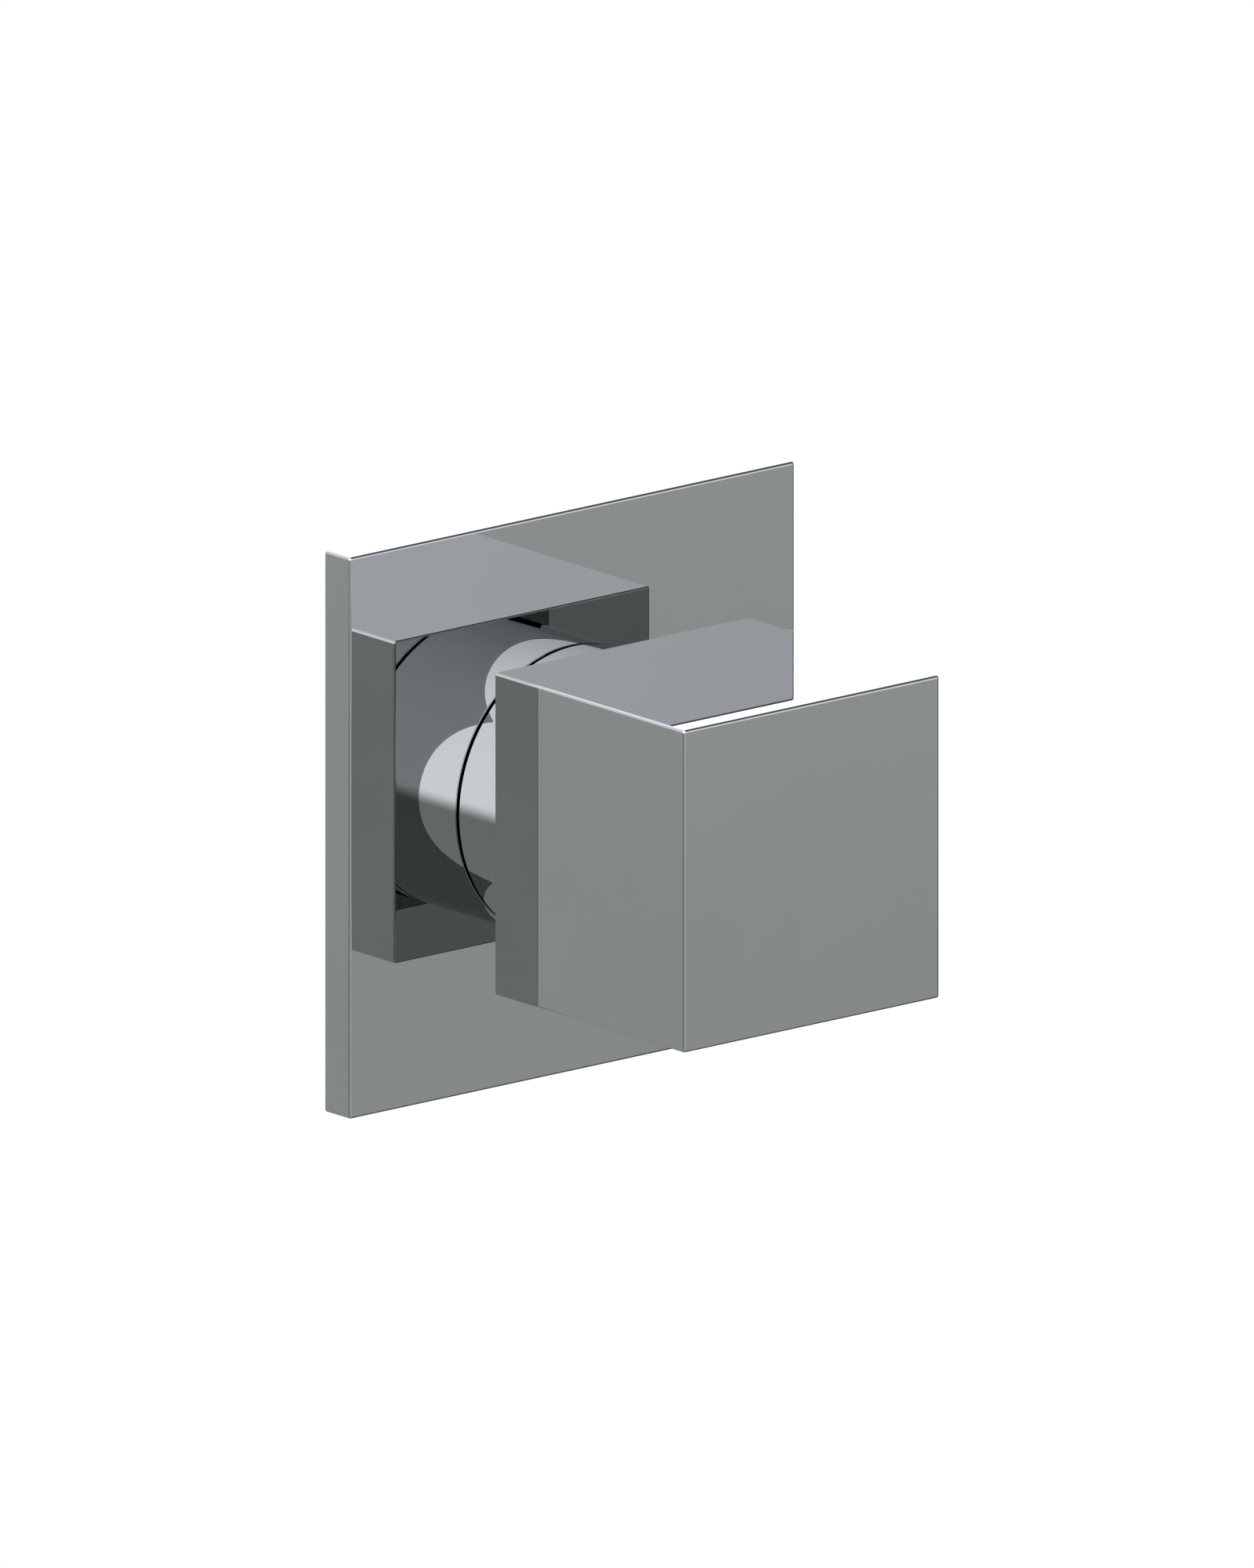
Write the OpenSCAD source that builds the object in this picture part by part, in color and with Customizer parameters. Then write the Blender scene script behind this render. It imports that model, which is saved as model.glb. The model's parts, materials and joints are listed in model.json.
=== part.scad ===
// Concealed shower volume control valve: a square cover plate, a cube handle on a round hub,
// and behind the wall surface a brass stop valve with a quarter-turn ceramic headwork.
// Units are millimetres. +Z is up and +X right as the user faces the wall, and the front faces -Y.
// The origin is on the stem's axis at the wall surface, where the plate's back rests.
// Most pieces are turned about the stem's axis, so they are drawn with their own Z as the height
// out of the wall: a height above 0 is in the room, and one below 0 is inside the wall.

/* [Cover plate] */
// Side of the square plate
plate_side = 70; // [66:1:90]
// Thickness of the plate
plate_thick = 4.8; // [4.2:0.1:6]
// Radius of the plate's outer edges
plate_edge = 0.35; // [0.1:0.05:0.6]
// Metal left in front of the recess that holds the collar
plate_skin = 2; // [1.5:0.1:2.4]
// Gap all round the glide ring in the plate's hole, which slides over it
hole_gap = 0.4; // [0.3:0.1:0.6]

/* [Plate gasket] */
// Distance from the plate's edge to the gasket
gasket_margin = 2.5; // [2:0.5:4]
// Width of the gasket's square band
gasket_band = 7; // [5:0.5:8]
// Thickness of the gasket, and so the depth of its recess
gasket_thick = 1.5; // [1:0.1:2]
// Clearance of the gasket in its recess
gasket_play = 0.1; // [0.05:0.05:0.2]
// Least distance from the collar to the gasket, on a plate so small that they come close
gasket_rim = 1; // [0.5:0.1:1.5]

/* [Plate collar] */
// Clearance between the collar and the sleeve that it slides on
collar_slide = 0.3; // [0.2:0.1:0.5]
// Wall of the collar
collar_wall = 4.2; // [3.6:0.1:4.6]
// Length of the collar
collar_long = 8; // [7.5:0.5:10]
// Clearance between the collar and its recess in the plate
collar_fit = 0.05; // [0.02:0.01:0.1]
// Section of the collar's O-ring
collar_ring_d = 1.8; // [1.5:0.1:2]
// Distance of the collar's O-ring behind the wall surface
collar_ring_back = 2.5; // [2:0.1:3.5]
// Bevel on the collar's back edge
collar_bevel = 0.6; // [0.3:0.1:1]

/* [Handle] */
// Side of the square grip, seen from the front
grip_side = 40.2; // [38:0.1:46]
// Depth of the grip
grip_deep = 35.5; // [34:0.1:44]
// Radius of the grip's edges
grip_edge = 0.35; // [0.1:0.05:0.6]
// Gap between the plate and the back of the grip
grip_gap = 9.4; // [8:0.1:12]
// Diameter of the round hub behind the grip
hub_d = 36.2; // [35:0.1:38]
// Gap between the plate and the end of the hub, which turns in front of it
hub_gap = 0.3; // [0.2:0.1:0.8]
// Bevel on the hub's back edge
hub_bevel = 0.1; // [0.1:0.1:0.3]

/* [Set screw] */
// Thread diameter of the set screw
set_d = 5; // [4:0.5:6]
// Length of the set screw
set_long = 8; // [6:1:10]
// Width across the flats of its hex socket
set_socket = 2.5; // [2:0.1:3]
// Depth of its hex socket
set_socket_deep = 3; // [2:0.5:4]
// Point of the set screw, as a bevel
set_point = 0.6; // [0.3:0.1:1]

/* [Handle adapter] */
// Outer diameter of the adapter
adapter_d = 15.6; // [14:0.1:18]
// Length of the adapter
adapter_long = 22; // [21.5:0.5:24]
// Clearance between the adapter and the handle's bore
adapter_fit = 0.05; // [0.02:0.01:0.1]
// Depth of the groove that the set screw bears in
adapter_groove = 0.6; // [0.4:0.1:1]
// Web of the adapter that the screw clamps on the stem
adapter_web = 4.5; // [4:0.1:5.5]
// Bevel on both ends of the adapter
adapter_bevel = 0.5; // [0.2:0.1:1]
// Thread diameter of the adapter's screw
clamp_d = 4; // [3:0.5:4]
// Length of the screw under its head
clamp_long = 12; // [10:0.5:13]
// Diameter of the screw's head
clamp_head_d = 7; // [6.5:0.1:7.2]
// Height of the screw's head
clamp_head_high = 4; // [3:0.5:4.5]
// Width across the flats of the screw's hex socket
clamp_socket = 3; // [2.5:0.1:3.5]
// Depth of the screw's hex socket
clamp_socket_deep = 2.2; // [1.5:0.1:2.5]
// Thickness of the spring washer under the head
clamp_washer_thick = 0.9; // [0.6:0.1:1.2]
// Gap cut through the spring washer
clamp_washer_gap = 0.8; // [0.5:0.1:1.2]

/* [Sleeve] */
// Wall of the sleeve's threaded skirt, and so of its flange, round the neck
skirt_wall = 3.4; // [3:0.1:3.6]
// Gap between the sleeve's flange and the plate in front of it
flange_gap = 0.3; // [0.2:0.1:0.6]
// Gap between the sleeve's threaded skirt and the barrel behind it
skirt_gap = 0.5; // [0.3:0.1:1]
// Wall of the sleeve's nose
nose_wall = 1.5; // [1.3:0.1:1.8]
// Length of the sleeve's nose in front of its flange
nose_long = 9.8; // [9:0.1:11]
// Wall of the glide ring between the nose and the hub
glide_wall = 1.55; // [1.3:0.05:1.8]
// Length of the glide ring
glide_long = 5; // [4:0.5:6]
// Depth of the glide ring's groove in the nose
glide_sink = 0.6; // [0.3:0.1:0.8]
// Length of the nose in front of the glide ring
glide_lip = 1; // [0.8:0.1:1.5]

/* [Valve body] */
// Distance of the neck's front face behind the wall surface
neck_back = 1; // [0.5:0.5:2]
// Diameter of the neck's outer thread
neck_d = 28; // [27:0.5:29]
// Length of the neck's outer thread
neck_long = 7.5; // [7.2:0.1:8]
// Diameter of the boss behind the neck
boss_d = 25; // [24.6:0.1:25.4]
// Diameter of the upright barrel between the ports
barrel_d = 25.6; // [25.5:0.1:26]
// Corner diameter of the octagon at each port
port_corner_d = 28; // [27.8:0.1:30]
// Length of each octagon
port_flat_long = 8; // [6:0.5:10]
// Distance from the stem's axis to each port's face
port_reach = 22.5; // [22:0.5:30]
// Major diameter of the G 1/2 pipe thread in each port
port_thread_d = 20.955; // [20.955:0.001:20.955]
// Depth of the thread in each port
port_deep = 10.5; // [9:0.5:10.5]
// Bevel at each port's mouth
port_bevel = 0.7; // [0.4:0.1:1]
// Diameter of the chamber round the headwork's cage
chamber_d = 20; // [19.4:0.1:20.4]
// Metal between the chamber and the inlet passage
seat_wall = 2.3; // [2:0.1:3]
// Diameter of the hole in the seat
seat_hole_d = 11; // [9:0.5:12]
// Diameter of the inlet passage behind the seat
inlet_way_d = 8; // [7:0.5:9]
// Diameter of the outlet passage above the chamber
outlet_way_d = 9; // [8:0.5:10]
// Metal behind the inlet passage
back_wall = 2.5; // [2.4:0.1:3.2]

/* [Headwork housing] */
// Major diameter of the housing's G 1/2 thread
housing_thread_d = 20.955; // [20.5:0.005:20.955]
// Length of the threaded zone
housing_thread_long = 5.8; // [5:0.1:6]
// Length of the relief that the O-ring sits on
housing_relief_long = 1.8; // [1.7:0.1:2.2]
// Section of the housing's O-ring
housing_ring_d = 1.6; // [1.4:0.1:1.6]
// Diameter of the flange under the hex
housing_flange_d = 24.8; // [24.4:0.1:25.4]
// Thickness of the flange
housing_flange_thick = 1.6; // [1.2:0.1:2]
// Width across the flats of the hex
hex_flats = 20; // [18:0.5:21]
// Height of the hex
hex_high = 5.4; // [4:0.2:6]
// Diameter of the bearing neck in front of the hex
bearing_d = 14; // [12.5:0.5:16]
// Length of the bearing neck
bearing_long = 8.5; // [7:0.5:8.5]
// Bevel on the bearing neck's front edge
bearing_bevel = 0.8; // [0.4:0.1:1]
// Wall of the cage that holds the discs
cage_wall = 1.4; // [1.2:0.1:1.5]
// Bore of the cage
cage_bore_d = 15.6; // [15.4:0.1:15.8]
// Width of the two water windows in the cage
window_wide = 8; // [7:0.5:9]
// How deep the inner shoulder lies behind the neck's front face
shoulder_back = 3.6; // [3.2:0.1:3.8]
// Depth of the stop pocket into the housing's wall
stop_deep = 1.1; // [0.8:0.1:1.3]

/* [Stem] */
// Diameter of the sealed part of the stem
stem_d = 9.2; // [8.8:0.1:9.6]
// Length of the sealed part in front of the shoulder
stem_seal_long = 14; // [13:0.5:15]
// Diameter of the front part of the stem, over its splines
spline_d = 8; // [7.6:0.1:8.4]
// Number of splines
spline_count = 20; // [12:1:24]
// How much lower the splines' tips are than the plain front part
spline_drop = 0.1; // [0.05:0.05:0.2]
// Depth of the splines
spline_deep = 0.4; // [0.3:0.05:0.5]
// Length of the splined end
spline_long = 11.5; // [10:0.5:12]
// Plain stretch between the clip and the splines
spline_gap = 1.5; // [1:0.5:2]
// Thickness of the carrier disc at the stem's foot
carrier_thick = 3; // [2.5:0.5:3.5]
// Height of the carrier's bar, which leaves the water's way out
carrier_bar_high = 3; // [2.5:0.5:4]
// Width of the carrier's bar
carrier_bar_wide = 5; // [4:0.5:6]
// Angle that the stop lug covers
lug_angle = 36; // [30:1:44]
// Height of the tangs that turn the upper disc
tang_high = 1.1; // [0.8:0.1:1.3]
// Width of the tangs
tang_wide = 3; // [2.5:0.5:3.5]
// Length of each tang from the rim inwards
tang_long = 1.8; // [1.4:0.1:2.2]
// Section of the stem's O-rings
stem_ring_d = 1.4; // [1.2:0.1:1.5]
// Distance between the stem's two O-rings
stem_ring_step = 5; // [4:0.5:6]
// Distance from the inner shoulder to the first O-ring
stem_ring_first = 4; // [3:0.5:5]
// Thickness of the washer under the inner shoulder
thrust_thick = 0.6; // [0.4:0.1:1]
// Thickness of the clip on the stem
clip_thick = 0.8; // [0.6:0.1:1]
// Outer diameter of the clip
clip_d = 12.4; // [11.5:0.1:12.4]
// Depth of the clip's groove in the stem
clip_sink = 0.6; // [0.4:0.1:0.8]
// Angle of the clip's open mouth
clip_mouth = 60; // [40:5:80]

/* [Discs and seal] */
// Thickness of the turning disc
upper_disc_thick = 2.5; // [2.2:0.1:3]
// Thickness of the fixed disc
lower_disc_thick = 3; // [2.5:0.1:3.5]
// Diameter of both discs
disc_d = 15; // [14.6:0.1:15.2]
// Inner radius of the water openings
opening_in = 1.8; // [1.4:0.1:2.4]
// Outer radius of the water openings
opening_out = 5.4; // [5:0.1:5.5]
// Angle that each water opening covers
opening_angle = 74; // [60:1:82]
// Height of the seat seal
seal_high = 3.3; // [3:0.1:4]
// Height of the seal's lip below the cage
seal_lip = 0.7; // [0.5:0.1:1]
// Radial width of the seal's wall inside the cage
seal_wall = 1.4; // [1:0.1:1.8]

/* [Fits] */
// Radial clearance of a turning fit
run_play = 0.05; // [0.02:0.01:0.09]
// Radial clearance between mating threads, drawn as plain cylinders
thread_play = 0.1; // [0.05:0.05:0.2]
// Clearance of pieces that only lie or slot in place
loose_play = 0.2; // [0.1:0.05:0.25]
// Film between the two discs
disc_film = 0.02; // [0.01:0.01:0.05]
// Angle of play at each end of the quarter turn
stop_play = 1; // [0.5:0.5:2]

/* [Hidden] */
$fn = 96;

// How far a cutting shape runs past what it cuts
over = 0.5;
// Quarter turn between shut and open
quarter_turn = 90;
hex_sides = 6;
octagon_sides = 8;

// Colours as the photograph shows them, and for the hidden pieces as they are usually made
chrome_colour = [0.74, 0.76, 0.77];
brass_colour = [0.78, 0.62, 0.34];
steel_colour = [0.62, 0.63, 0.65];
rubber_colour = [0.10, 0.10, 0.11];
foam_colour = [0.22, 0.22, 0.24];
plastic_colour = [0.16, 0.16, 0.17];
glide_colour = [0.90, 0.89, 0.84];
ceramic_colour = [0.94, 0.92, 0.88];

// Heights in front of the wall surface
plate_front = plate_thick;
collar_front = plate_thick - plate_skin;
grip_back = plate_front + grip_gap;
grip_front = grip_back + grip_deep;
hub_end = plate_front + hub_gap;
flange_front = collar_front - flange_gap;
nose_front = flange_front + nose_long;
glide_front = nose_front - glide_lip;

// Heights of the headwork, from its thrust shoulder inwards to the seat
neck_front = -neck_back;
shoulder_at = neck_front - shoulder_back;
carrier_front = shoulder_at - thrust_thick;
carrier_back = carrier_front - carrier_thick;
bar_back = carrier_back - carrier_bar_high;
upper_disc_back = bar_back - upper_disc_thick;
lower_disc_front = upper_disc_back - disc_film;
lower_disc_back = lower_disc_front - lower_disc_thick;
seat_at = lower_disc_back - seal_high;
cage_back = seat_at + seal_lip;
thread_back = neck_front - housing_relief_long - housing_thread_long;

// Heights of the headwork in front of the neck
hex_back = neck_front + housing_flange_thick;
hex_front = hex_back + hex_high;
bearing_front = hex_front + bearing_long;
stem_step = shoulder_at + stem_seal_long;
stem_ring_heights = [
  shoulder_at + stem_ring_first, shoulder_at + stem_ring_first + stem_ring_step
];
clip_back = bearing_front + run_play;
clip_front = clip_back + clip_thick;
spline_back = clip_front + spline_gap;
stem_front = spline_back + spline_long;

// Heights of the adapter and its screw
adapter_back = spline_back + loose_play;
adapter_front = adapter_back + adapter_long;
web_back = stem_front + loose_play;
web_front = web_back + adapter_web;
clamp_head_back = web_front + clamp_washer_thick;
clamp_tip = clamp_head_back - clamp_long;
groove_wide = set_d + loose_play;
set_at = (web_front + adapter_front) / 2 - loose_play;

// Radii of the pieces round the stem's axis
hub_r = hub_d / 2;
neck_r = neck_d / 2;
flange_r = neck_r + thread_play + skirt_wall;
collar_bore_r = flange_r + collar_slide;
collar_r = collar_bore_r + collar_wall;
flange_hole_r = housing_flange_d / 2 + loose_play;
nose_r = flange_hole_r + nose_wall;
glide_in_r = nose_r - glide_sink;
glide_r = glide_in_r + glide_wall;
plate_hole_r = glide_r + hole_gap;
hub_bore_r = glide_r + run_play;
adapter_r = adapter_d / 2;
groove_r = adapter_r - adapter_groove;
neck_thread_r = housing_thread_d / 2 + thread_play;
ring_seat_r = housing_flange_d / 2 - loose_play - thread_play;
relief_r = ring_seat_r - housing_ring_d - loose_play / 2;
stem_r = stem_d / 2;
stem_bore_r = stem_r + run_play;
spline_r = spline_d / 2;
bearing_bore_r = spline_r + run_play;
clip_groove_r = spline_r - clip_sink;
cage_bore_r = cage_bore_d / 2;
cage_r = cage_bore_r + cage_wall;
disc_r = disc_d / 2;
stop_pocket_r = cage_bore_r + stop_deep;
lug_r = stop_pocket_r - loose_play;
barrel_r = barrel_d / 2;
port_r = port_thread_d / 2;
stem_groove_r = stem_bore_r - stem_ring_d - run_play;

// Places in the valve body, as distances behind the wall surface
seat_back = -seat_at;
inlet_way_back = seat_back + seat_wall + inlet_way_d / 2;
pipe_back = inlet_way_back + inlet_way_d / 2 + back_wall - barrel_r;
outlet_way_back = pipe_back - (barrel_r - back_wall) + outlet_way_d / 2;
port_end = port_reach - port_deep;
port_flat_r = port_corner_d / 2 * cos(180 / octagon_sides);
skirt_back = skirt_gap + max(port_flat_r, barrel_r) - pipe_back;

// Turns a piece so that its own Z points out of the wall and its own Y points up
module out_of_wall() {
  rotate([90, 0, 0]) children();
}

// Solid cylinder between two heights
module rod(from, to, r) {
  translate([0, 0, from]) cylinder(h = to - from, r = r);
}

// Cylinder between two heights with both rims bevelled
module bevelled_rod(from, to, r, bevel) {
  rotate_extrude() polygon([
    [0, from], [r - bevel, from], [r, from + bevel],
    [r, to - bevel], [r - bevel, to], [0, to]
  ]);
}

// Ring between two heights
module tube(from, to, outer, inner) {
  difference() {
    rod(from, to, outer);
    rod(from - over, to + over, inner);
  }
}

// Ring with a round section, centred on a height
module o_ring(at, inner, section) {
  translate([0, 0, at]) rotate_extrude() translate([inner + section / 2, 0]) circle(d = section);
}

// Hexagonal or octagonal rod between two heights, sized across its flats
module flats_rod(from, to, flats, sides) {
  translate([0, 0, from]) cylinder(h = to - from, d = flats / cos(180 / sides), $fn = sides);
}

// Flat slice of a ring between two radii, centred on the X axis
module ring_slice(inner, outer, angle) {
  reach = 2 * outer;
  intersection() {
    difference() {
      circle(r = outer);
      circle(r = inner);
    }
    polygon([
      [0, 0],
      [reach * cos(angle / 2), -reach * sin(angle / 2)],
      [reach, 0],
      [reach * cos(angle / 2), reach * sin(angle / 2)]
    ]);
  }
}

// Square with rounded corners, drawn from two bars and four circles
module rounded_outline(wide, high, r) {
  square([wide - 2 * r, high], center = true);
  square([wide, high - 2 * r], center = true);
  for (x = [-1, 1], y = [-1, 1])
    translate([x * (wide / 2 - r), y * (high / 2 - r)]) circle(r = r);
}

// Square block between two heights with every edge rounded
module rounded_block(side, from, to, r) {
  deep = to - from;
  translate([0, 0, (from + to) / 2]) intersection() {
    linear_extrude(deep, center = true) rounded_outline(side, side, r);
    rotate([90, 0, 0]) linear_extrude(side, center = true) rounded_outline(side, deep, r);
    rotate([0, 90, 0]) linear_extrude(side, center = true) rounded_outline(deep, side, r);
  }
}

// Square cover plate: hole for the sleeve, recess for the collar, shallow square recess for the gasket
module cover_plate() {
  color(chrome_colour) out_of_wall() difference() {
    rounded_block(plate_side, 0, plate_front, plate_edge);
    rod(-over, plate_front + over, plate_hole_r);
    rod(-over, collar_front, collar_r + collar_fit);
    translate([0, 0, -over]) linear_extrude(gasket_thick + over) gasket_outline(gasket_play);
  }
}

// Square band that the gasket fills, clear of the collar, made wider on both sides by the play
module gasket_outline(play) {
  outer = plate_side - 2 * gasket_margin;
  inner = outer - 2 * gasket_band;
  difference() {
    square(outer + 2 * play, center = true);
    square(inner - 2 * play, center = true);
    circle(r = collar_r + gasket_rim - play);
  }
}

// Foam gasket, flush with the plate's back
module plate_gasket() {
  color(foam_colour) out_of_wall() linear_extrude(gasket_thick) gasket_outline(0);
}

// Collar bonded in the plate, which slides on the sleeve's flange
module plate_collar() {
  back = collar_front - collar_long;
  half_groove = collar_ring_d / 2 + loose_play;
  color(plastic_colour) out_of_wall() difference() {
    rotate_extrude() polygon([
      [collar_bore_r, back], [collar_r - collar_bevel, back], [collar_r, back + collar_bevel],
      [collar_r, collar_front], [collar_bore_r, collar_front]
    ]);
    rod(-collar_ring_back - half_groove, -collar_ring_back + half_groove,
      flange_r + collar_ring_d + 2 * run_play);
  }
}

// O-ring in the collar that grips the sleeve and holds the plate on
module collar_o_ring() {
  color(rubber_colour) out_of_wall() o_ring(-collar_ring_back, flange_r + run_play, collar_ring_d);
}

// Sleeve screwed over the valve's neck: skirt, flange that carries the plate, and nose for the handle
module sleeve() {
  color(brass_colour) out_of_wall() difference() {
    union() {
      rod(skirt_back, flange_front, flange_r);
      rod(neck_front, nose_front, nose_r);
    }
    rod(skirt_back - over, neck_front, neck_r + thread_play);
    rod(skirt_back - over, nose_front + over, flange_hole_r);
    tube(glide_front - glide_long, glide_front, nose_r + over, glide_in_r);
  }
}

// Plastic ring on the sleeve's nose, which the hub turns on
module glide_ring() {
  color(glide_colour) out_of_wall()
    tube(glide_front - glide_long + run_play, glide_front - run_play, glide_r, glide_in_r + run_play);
}

// Cube handle in one piece with its hub, bored for the sleeve's nose and for the adapter
module handle() {
  mouth = hub_bore_r + hub_bevel;
  color(chrome_colour) difference() {
    out_of_wall() difference() {
      union() {
        rounded_block(grip_side, grip_back, grip_front, grip_edge);
        bevelled_rod(hub_end, grip_back + hub_r / 2, hub_r, hub_bevel);
      }
      rod(hub_end - over, adapter_back - loose_play, hub_bore_r);
      rod(hub_end - over, adapter_front + loose_play, adapter_r + adapter_fit);
      rotate_extrude() polygon([
        [0, hub_end - over], [mouth + over, hub_end - over], [mouth - hub_bevel, hub_end + hub_bevel],
        [0, hub_end + hub_bevel]
      ]);
    }
    translate([0, -set_at, -grip_side]) cylinder(h = grip_side, d = set_d + 2 * run_play);
  }
}

// Hex-socket set screw in the underside of the grip
module set_screw() {
  tip = -groove_r;
  back = tip - set_long;
  color(steel_colour) translate([0, -set_at, 0]) difference() {
    bevelled_rod(back, tip, set_d / 2, set_point);
    flats_rod(back - over, back + set_socket_deep, set_socket, hex_sides);
  }
}

// Splined outline of the stem's end, with a clearance for the piece that slides on it
module spline_outline(play) {
  step = 360 / spline_count;
  tip = spline_r - spline_drop + play;
  root = tip - spline_deep;
  one_spline = [[root, 0], [tip, step / 4], [tip, step / 2], [root, 3 * step / 4]];
  polygon([
    for (i = [0:spline_count - 1], corner = one_spline)
      corner[0] * [cos(i * step + corner[1]), sin(i * step + corner[1])]
  ]);
}

// Adapter that fits the stem's splines inside and the handle's bore outside
module handle_adapter() {
  color(brass_colour) out_of_wall() difference() {
    bevelled_rod(adapter_back, adapter_front, adapter_r, adapter_bevel);
    tube(set_at - groove_wide / 2, set_at + groove_wide / 2, adapter_r + over, groove_r);
    translate([0, 0, adapter_back - over])
      linear_extrude(web_back - adapter_back + over) spline_outline(run_play);
    rod(adapter_back, adapter_front, clamp_d / 2 + loose_play);
    rod(web_front, adapter_front + over, clamp_head_d / 2 + loose_play);
  }
}

// Cap screw that clamps the adapter on the stem
module adapter_screw() {
  head_front = clamp_head_back + clamp_head_high;
  color(steel_colour) out_of_wall() difference() {
    union() {
      rod(clamp_tip, clamp_head_back + over, clamp_d / 2);
      bevelled_rod(clamp_head_back, head_front, clamp_head_d / 2, set_point / 2);
    }
    flats_rod(head_front - clamp_socket_deep, head_front + over, clamp_socket, hex_sides);
  }
}

// Split spring washer under the screw's head
module adapter_washer() {
  color(steel_colour) out_of_wall() difference() {
    tube(web_front, clamp_head_back, clamp_head_d / 2, clamp_d / 2 + loose_play / 2);
    translate([0, -clamp_washer_gap / 2, web_front - over])
      cube([clamp_head_d, clamp_washer_gap, clamp_washer_thick + 2 * over]);
  }
}

// Stop lug on the carrier's rim, which points up when the valve is shut
module stop_lug() {
  translate([0, 0, carrier_back]) rotate(90) linear_extrude(carrier_thick)
    ring_slice(disc_r / 2, lug_r, lug_angle);
}

// Tangs under the carrier's bar, or with a play the notches for them in the upper disc
module tangs(play) {
  long = tang_long + play;
  wide = tang_wide + play;
  for (side = [0, 180]) rotate(side) translate([disc_r - long, -wide / 2, bar_back - tang_high])
    cube([tang_long + over, wide, tang_high + over]);
}

// Stem: carrier with its stop lug and tangs, sealed shank, clip groove and splined end
module stem() {
  color(brass_colour) out_of_wall() difference() {
    union() {
      rod(carrier_back, carrier_front, disc_r);
      stop_lug();
      intersection() {
        rod(bar_back - tang_high, carrier_back, disc_r);
        union() {
          translate([-disc_r, -carrier_bar_wide / 2, bar_back])
            cube([disc_d, carrier_bar_wide, carrier_bar_high + over]);
          tangs(0);
        }
      }
      rod(carrier_back, stem_step, stem_r);
      rod(stem_step - over, spline_back, spline_r);
      translate([0, 0, spline_back]) linear_extrude(spline_long) spline_outline(0);
    }
    for (at = stem_ring_heights)
      tube(at - stem_ring_d / 2 - loose_play, at + stem_ring_d / 2 + loose_play,
        stem_r + over, stem_groove_r);
    tube(clip_back - run_play, clip_front + run_play, spline_r + over, clip_groove_r);
    rod(clamp_tip - loose_play, stem_front + over, clamp_d / 2 + run_play);
  }
}

// Open clip that keeps the stem in its housing
module stem_clip() {
  color(steel_colour) out_of_wall() translate([0, 0, clip_back]) linear_extrude(clip_thick)
    rotate(180) ring_slice_rest(clip_groove_r + run_play, clip_d / 2, clip_mouth);
}

// What is left of a flat ring when a slice is taken out of it
module ring_slice_rest(inner, outer, angle) {
  difference() {
    circle(r = outer);
    circle(r = inner);
    ring_slice(inner / 2, outer + over, angle);
  }
}

// The two O-rings in the stem's grooves, as one group
module stem_o_rings() {
  color(rubber_colour) out_of_wall()
    for (at = stem_ring_heights) o_ring(at, stem_groove_r + run_play / 2, stem_ring_d);
}

// Low-friction washer between the carrier and the housing's inner shoulder
module thrust_washer() {
  color(glide_colour) out_of_wall()
    tube(carrier_front, shoulder_at - disc_film, disc_r, stem_r + run_play);
}

// Two opposite water openings, cut through a disc
module water_openings(from, to, turn) {
  for (side = [0, 180]) rotate(side + turn) translate([0, 0, from - over])
    linear_extrude(to - from + 2 * over) ring_slice(opening_in, opening_out, opening_angle);
}

// Ceramic disc that turns with the stem: its openings point up and down when shut
module upper_disc() {
  color(ceramic_colour) out_of_wall() difference() {
    rod(upper_disc_back, bar_back, disc_r);
    water_openings(upper_disc_back, bar_back, quarter_turn);
    tangs(loose_play / 2);
  }
}

// Ceramic disc held by the cage's windows: its openings point left and right
module lower_disc() {
  wide = window_wide - loose_play;
  color(ceramic_colour) out_of_wall() difference() {
    union() {
      rod(lower_disc_back, lower_disc_front, disc_r);
      intersection() {
        rod(lower_disc_back, lower_disc_front, cage_r - loose_play);
        translate([-wide / 2, -cage_r, lower_disc_back]) cube([wide, 2 * cage_r, lower_disc_thick]);
      }
    }
    water_openings(lower_disc_back, lower_disc_front, 0);
  }
}

// Rubber seal between the lower disc and the seat in the body
module seat_seal() {
  inner = disc_r - seal_wall;
  color(rubber_colour) out_of_wall() difference() {
    union() {
      rod(seat_at, lower_disc_back, disc_r);
      rod(seat_at, cage_back, cage_r - loose_play);
    }
    rod(seat_at - over, lower_disc_back + over, inner);
  }
}

// Brass housing of the headwork: cage, thread, flange, hex and bearing neck in one piece
module cartridge_housing() {
  pocket_angle = quarter_turn + lug_angle + 2 * stop_play;
  pocket_back = min(carrier_back, thread_back) - loose_play;
  color(brass_colour) out_of_wall() difference() {
    union() {
      rod(cage_back, neck_front, cage_r);
      rod(thread_back, thread_back + housing_thread_long, housing_thread_d / 2);
      rod(thread_back, neck_front + over, relief_r);
      rod(neck_front, hex_back, housing_flange_d / 2);
      flats_rod(hex_back, hex_front, hex_flats, hex_sides);
      bevelled_rod(hex_back, bearing_front, bearing_d / 2, bearing_bevel);
    }
    rod(cage_back - over, shoulder_at, cage_bore_r);
    rod(shoulder_at - over, stem_step + loose_play, stem_bore_r);
    rod(shoulder_at, bearing_front + over, bearing_bore_r);
    translate([-window_wide / 2, -neck_d, cage_back - over])
      cube([window_wide, 2 * neck_d, thread_back - cage_back + over]);
    translate([0, 0, pocket_back]) rotate(90 + quarter_turn / 2)
      linear_extrude(shoulder_at - pocket_back)
        ring_slice((stem_bore_r + cage_bore_r) / 2, stop_pocket_r, pocket_angle);
  }
}

// O-ring between the housing and the body's neck
module housing_o_ring() {
  color(rubber_colour) out_of_wall()
    o_ring(neck_front - housing_relief_long / 2, relief_r + run_play, housing_ring_d);
}

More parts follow.
